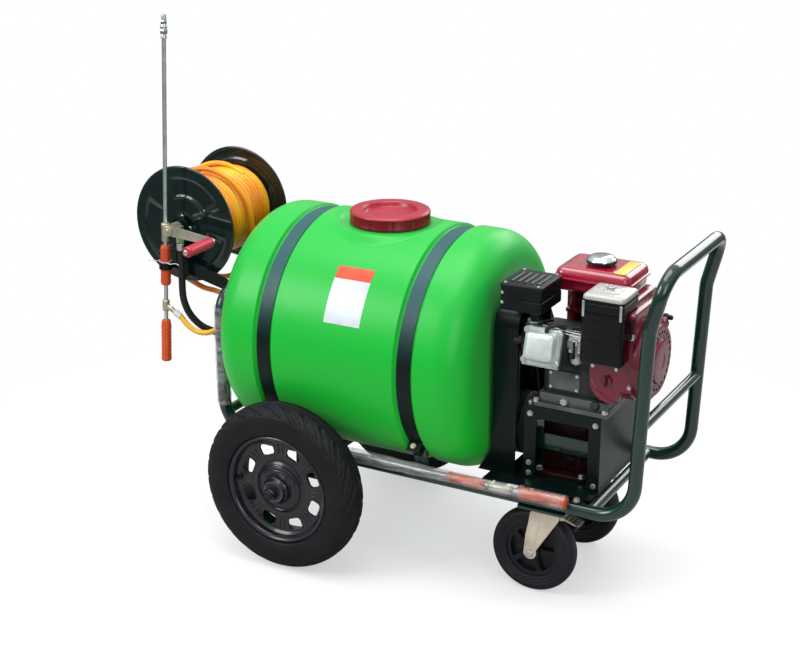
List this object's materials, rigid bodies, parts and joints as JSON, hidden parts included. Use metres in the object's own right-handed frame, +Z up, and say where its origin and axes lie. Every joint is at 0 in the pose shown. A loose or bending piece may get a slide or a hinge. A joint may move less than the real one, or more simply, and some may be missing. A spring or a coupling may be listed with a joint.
{
  "type": "wheeled sprayer cart",
  "caption": "Push cart with a horizontal plastic tank, a petrol engine driving a plunger pump, and a hose reel with a spray lance, for spraying trees and vines.",
  "frame": {"origin": "on the floor under the middle of the cart's length and width", "axes": "+X from the hose reel towards the push bar, +Y to the side away from the crank, +Z up"},
  "size_m": [1.4612, 0.78, 1.2972],
  "materials": {
    "frame_paint": "gloss",
    "zinc": "satin",
    "steel": "satin",
    "bright_metal": "gloss",
    "tank_plastic": "semi-gloss",
    "lid_plastic": "gloss",
    "tyre_rubber": "matte",
    "rim_paint": "semi-gloss",
    "black_rubber": "matte",
    "engine_alloy": "satin",
    "pump_paint": "semi-gloss",
    "engine_paint": "gloss",
    "heat_paint": "matte",
    "black_plastic": "matte",
    "red_plastic": "gloss",
    "yellow_hose": "semi-gloss",
    "orange_plastic": "semi-gloss"
  },
  "bodies": {
    "cart": {"side_tube_near": "frame_paint", "side_tube_far": "frame_paint", "push_bar": "frame_paint", "cross_tubes": "frame_paint", "axle": "steel", "axle_brackets": "frame_paint", "tank_saddles": "frame_paint", "tank_shell": "tank_plastic", "strap_bands": "frame_paint", "strap_bolts": "zinc", "filler_strainer": "black_plastic", "wheel_bearings": "steel", "axle_nuts": "zinc", "caster_beam": "frame_paint", "caster_plates": "zinc", "engine_stand": "frame_paint", "belt_guard": "frame_paint", "pump_body": "pump_paint", "pump_manifold": "engine_alloy", "pressure_gauge": "steel", "drive_belts": "black_rubber", "engine_block": "engine_alloy", "valve_cover": "engine_alloy", "muffler": "heat_paint", "carburetor": "engine_alloy", "air_cleaner": "black_plastic", "fuel_tank": "engine_paint", "blower_housing": "engine_paint", "recoil_cover": "engine_paint", "reel_brackets": "frame_paint", "reel_swivel": "zinc", "lance_tube": "steel", "spare_lance": "steel", "pump_hoses": "black_rubber", "spray_hose": "yellow_hose"},
    "wheel_near": {"tyre_near": "tyre_rubber", "rim_near": "rim_paint"},
    "wheel_far": {"tyre_far": "tyre_rubber", "rim_far": "rim_paint"},
    "caster_near": {"caster_fork_near": "zinc"},
    "caster_far": {"caster_fork_far": "zinc"},
    "caster_roll_near": {"caster_wheel_near": "black_rubber"},
    "caster_roll_far": {"caster_wheel_far": "black_rubber"},
    "brake_near": {"caster_brake_near": "zinc"},
    "brake_far": {"caster_brake_far": "zinc"},
    "lid": {"tank_lid": "lid_plastic"},
    "reel": {"reel_drum": "frame_paint", "hose_winding": "yellow_hose", "crank_arm": "zinc"},
    "crank_handle": {"crank_grip": "red_plastic"},
    "pump_drive": {"pump_pulley": "steel"},
    "engine_drive": {"crank_pulley": "steel"},
    "starter": {"starter_grip": "black_plastic"},
    "throttle": {"throttle_lever": "black_plastic"},
    "choke": {"choke_lever": "black_plastic"},
    "switch": {"engine_switch": "red_plastic"},
    "cap": {"fuel_cap": "bright_metal"},
    "regulator": {"pressure_knob": "red_plastic"},
    "valve": {"valve_lever": "red_plastic"},
    "spray_grip": {"lance_knob": "orange_plastic"}
  },
  "joints": [
    {"name": "wheel_near_spin", "type": "hinge", "parent": "cart", "child": "wheel_near", "pos_m": [-0.17758, -0.313, 0.21], "axis": [0, 1, 0], "continuous": true},
    {"name": "wheel_far_spin", "type": "hinge", "parent": "cart", "child": "wheel_far", "pos_m": [-0.17758, 0.313, 0.21], "axis": [0, 1, 0], "continuous": true},
    {"name": "caster_near_swivel", "type": "hinge", "parent": "cart", "child": "caster_near", "pos_m": [0.44942, -0.137, 0.219], "axis": [0, 0, 1], "continuous": true},
    {"name": "caster_far_swivel", "type": "hinge", "parent": "cart", "child": "caster_far", "pos_m": [0.44942, 0.137, 0.219], "axis": [0, 0, 1], "continuous": true},
    {"name": "caster_near_spin", "type": "hinge", "parent": "caster_near", "child": "caster_roll_near", "pos_m": [0.40942, -0.137, 0.105], "axis": [0, 1, 0], "continuous": true},
    {"name": "caster_far_spin", "type": "hinge", "parent": "caster_far", "child": "caster_roll_far", "pos_m": [0.40942, 0.137, 0.105], "axis": [0, 1, 0], "continuous": true},
    {"name": "brake_near_press", "type": "hinge", "parent": "caster_near", "child": "brake_near", "pos_m": [0.48342, -0.137, 0.207], "axis": [0, 1, 0], "range_deg": [-6, 6]},
    {"name": "brake_far_press", "type": "hinge", "parent": "caster_far", "child": "brake_far", "pos_m": [0.48342, 0.137, 0.207], "axis": [0, 1, 0], "range_deg": [-6, 6]},
    {"name": "lid_lift", "type": "slide", "parent": "cart", "child": "lid", "axis": [0, 0, 1], "range_m": [0, 0.15]},
    {"name": "reel_spin", "type": "hinge", "parent": "cart", "child": "reel", "pos_m": [-0.57958, 0, 0.762], "axis": [0, 1, 0], "continuous": true},
    {"name": "crank_handle_spin", "type": "hinge", "parent": "reel", "child": "crank_handle", "pos_m": [-0.45206, -0.24, 0.75084], "axis": [0, 1, 0], "continuous": true},
    {"name": "pump_spin", "type": "hinge", "parent": "cart", "child": "pump_drive", "pos_m": [0.32242, -0.02, 0.369], "axis": [1, 0, 0], "continuous": true},
    {"name": "engine_spin", "type": "hinge", "parent": "cart", "child": "engine_drive", "pos_m": [0.32242, -0.05, 0.594], "axis": [1, 0, 0], "continuous": true},
    {"name": "starter_pull", "type": "slide", "parent": "cart", "child": "starter", "axis": [0, 0.788, 0.6157], "range_m": [0, 0.6], "stiffness_N_per_m": 12},
    {"name": "throttle_turn", "type": "hinge", "parent": "cart", "child": "throttle", "pos_m": [0.62042, -0.1283, 0.668], "axis": [0, 1, 0], "range_deg": [0, 40]},
    {"name": "choke_turn", "type": "hinge", "parent": "cart", "child": "choke", "pos_m": [0.49642, -0.1503, 0.64], "axis": [0, 1, 0], "range_deg": [0, 30]},
    {"name": "switch_turn", "type": "hinge", "parent": "cart", "child": "switch", "pos_m": [0.56642, -0.1263, 0.554], "axis": [0, 1, 0], "range_deg": [0, 60]},
    {"name": "cap_lift", "type": "slide", "parent": "cart", "child": "cap", "axis": [0, 0, 1], "range_m": [0, 0.06]},
    {"name": "regulator_turn", "type": "hinge", "parent": "cart", "child": "regulator", "pos_m": [0.48042, 0.048, 0.409], "axis": [0, 0, 1], "range_deg": [0, 720]},
    {"name": "valve_turn", "type": "hinge", "parent": "cart", "child": "valve", "pos_m": [0.48842, 0.074, 0.358], "axis": [0, 0, 1], "range_deg": [0, 90]},
    {"name": "spray_grip_turn", "type": "hinge", "parent": "cart", "child": "spray_grip", "pos_m": [-0.62018, -0.166, 0.49189], "axis": [0.0489, 0, 0.9988], "range_deg": [0, 180]}
  ],
  "couplings": [
    {"joint": "engine_spin", "follows": "pump_spin", "ratio": 2}
  ]
}
